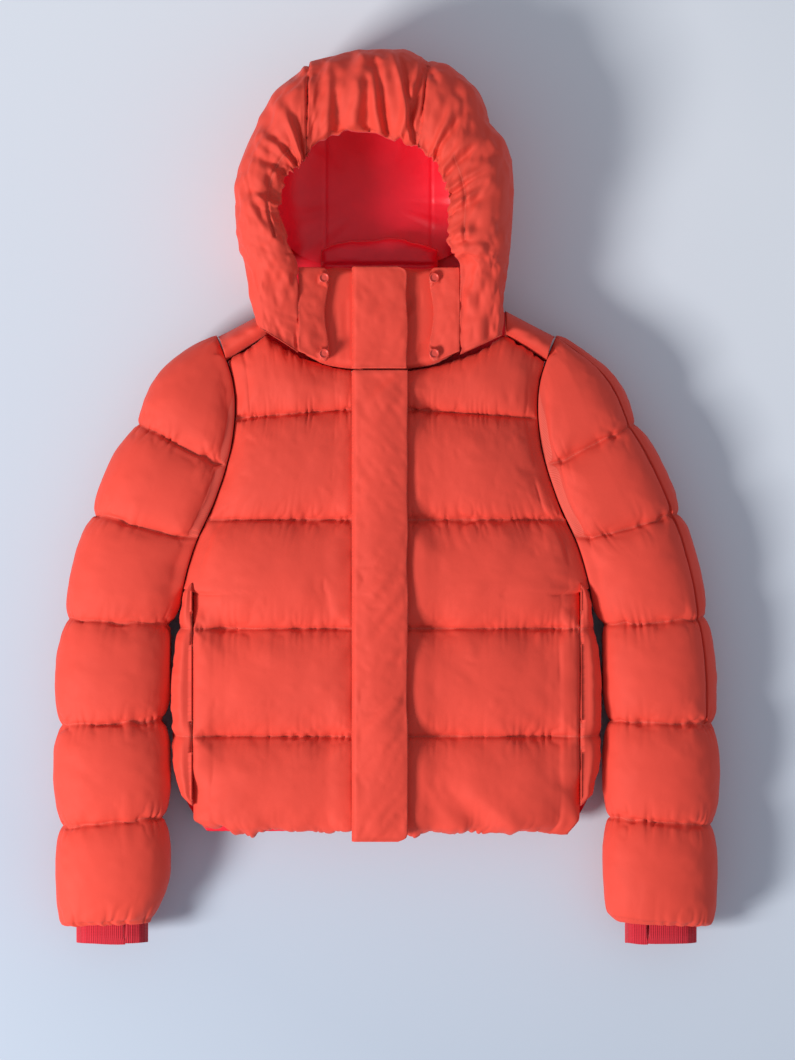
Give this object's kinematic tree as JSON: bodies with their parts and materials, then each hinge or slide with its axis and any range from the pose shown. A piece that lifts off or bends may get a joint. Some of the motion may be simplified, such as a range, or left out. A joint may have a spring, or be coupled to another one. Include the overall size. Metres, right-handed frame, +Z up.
{
  "type": "ski jacket",
  "caption": "Padded ski jacket with hood, snap tabs, storm flap over the front zip, zipped hand pockets and inner storm cuffs, closed and laid on its back.",
  "frame": {"origin": "centre of the jacket's box on the surface it lies on", "axes": "+Z up out of the chest, +Y towards the hood's crown, +X to the right seen from above, which is the wearer's left"},
  "size_m": [0.6956, 0.9346, 0.14],
  "materials": {
    "shell_cloth": "matt woven nylon, quilted over down-like filling",
    "lining_cloth": "smooth satin taffeta",
    "cuff_knit": "brushed stretch jersey",
    "zip_tape": "woven zip tape",
    "zip_hardware": "painted, satin",
    "snap_cap": "painted to match the shell, satin"
  },
  "bodies": {
    "coat": {"back_lining": "lining_cloth", "back_panel": "shell_cloth", "collar_back": "lining_cloth", "flap_snap_stud_1": "zip_hardware", "flap_snap_stud_2": "zip_hardware", "flap_snap_stud_3": "zip_hardware", "hanger_loop": "lining_cloth", "hood_back_neck": "shell_cloth", "left_collar_front": "shell_cloth", "left_front_lining": "lining_cloth", "left_front_panel": "shell_cloth", "left_hood_neck": "shell_cloth", "left_lower_snap_stud": "zip_hardware", "left_pocket_bag": "lining_cloth", "left_pocket_zip": "zip_tape", "left_shoulder_yoke": "shell_cloth", "left_side_panel": "shell_cloth", "left_upper_sleeve": "shell_cloth", "left_upper_snap_stud": "zip_hardware", "left_zip_tape": "zip_tape", "right_collar_front": "shell_cloth", "right_front_lining": "lining_cloth", "right_front_panel": "shell_cloth", "right_hood_neck": "shell_cloth", "right_lower_snap_stud": "zip_hardware", "right_pocket_bag": "lining_cloth", "right_pocket_zip": "zip_tape", "right_shoulder_yoke": "shell_cloth", "right_side_panel": "shell_cloth", "right_upper_sleeve": "shell_cloth", "right_upper_snap_stud": "zip_hardware", "right_zip_tape": "zip_tape", "zip_guard": "lining_cloth", "zip_insertion_pin": "zip_hardware", "zip_retainer_box": "zip_hardware"},
    "hood": {"centre_hood_panel": "shell_cloth", "left_hood_panel": "shell_cloth", "right_hood_panel": "shell_cloth", "hood_lining": "lining_cloth", "hood_rim_elastic": "shell_cloth"},
    "storm_flap": {"body_storm_flap": "shell_cloth", "collar_storm_flap": "shell_cloth", "flap_snap_socket_1": "zip_hardware", "flap_snap_socket_2": "zip_hardware", "flap_snap_socket_3": "zip_hardware"},
    "front_slider": {"front_zip_slider": "zip_hardware"},
    "front_pull": {"front_zip_puller": "zip_hardware"},
    "left_tab": {"left_hood_tab": "shell_cloth", "left_upper_snap_cap": "snap_cap", "left_lower_snap_cap": "snap_cap"},
    "left_forearm": {"left_forearm_sleeve": "shell_cloth"},
    "left_cuff": {"left_storm_cuff": "cuff_knit"},
    "left_pocket_pull": {"left_pocket_slider": "zip_hardware"},
    "right_tab": {"right_hood_tab": "shell_cloth", "right_upper_snap_cap": "snap_cap", "right_lower_snap_cap": "snap_cap"},
    "right_forearm": {"right_forearm_sleeve": "shell_cloth"},
    "right_cuff": {"right_storm_cuff": "cuff_knit"},
    "right_pocket_pull": {"right_pocket_slider": "zip_hardware"}
  },
  "joints": [
    {"name": "hood_tilt", "type": "hinge", "parent": "coat", "child": "hood", "pos_m": [-0.0125, 0.24085, 0.14], "axis": [1, 0, 0], "range_deg": [0, 30]},
    {"name": "storm_flap_open", "type": "hinge", "parent": "coat", "child": "storm_flap", "pos_m": [-0.036, -0.06, 0.0987], "axis": [0, -1, 0], "range_deg": [0, 125]},
    {"name": "front_zip_slide", "type": "slide", "parent": "coat", "child": "front_slider", "axis": [0, -1, 0], "range_m": [0, 0.55]},
    {"name": "front_pull_swing", "type": "hinge", "parent": "front_slider", "child": "front_pull", "pos_m": [-0.0075, 0.226, 0.0771], "axis": [0, 0, 1], "range_deg": [-20, 20]},
    {"name": "left_tab_open", "type": "hinge", "parent": "coat", "child": "left_tab", "pos_m": [-0.091, 0.185, 0.0973], "axis": [0, -1, 0], "range_deg": [0, 80]},
    {"name": "left_elbow_bend", "type": "hinge", "parent": "coat", "child": "left_forearm", "pos_m": [-0.28, -0.1386, 0.086], "axis": [-1, 0, 0], "range_deg": [0, 60]},
    {"name": "left_cuff_slide", "type": "slide", "parent": "left_forearm", "child": "left_cuff", "axis": [0, -1, 0], "range_m": [-0.012, 0.03]},
    {"name": "left_pocket_zip_slide", "type": "slide", "parent": "coat", "child": "left_pocket_pull", "axis": [0, -1, 0], "range_m": [0, 0.118]},
    {"name": "right_tab_open", "type": "hinge", "parent": "coat", "child": "right_tab", "pos_m": [0.076, 0.185, 0.0973], "axis": [0, 1, 0], "range_deg": [0, 80]},
    {"name": "right_elbow_bend", "type": "hinge", "parent": "coat", "child": "right_forearm", "pos_m": [0.28, -0.1386, 0.086], "axis": [-1, 0, 0], "range_deg": [0, 60]},
    {"name": "right_cuff_slide", "type": "slide", "parent": "right_forearm", "child": "right_cuff", "axis": [0, -1, 0], "range_m": [-0.012, 0.03]},
    {"name": "right_pocket_zip_slide", "type": "slide", "parent": "coat", "child": "right_pocket_pull", "axis": [0, -1, 0], "range_m": [0, 0.118]}
  ]
}
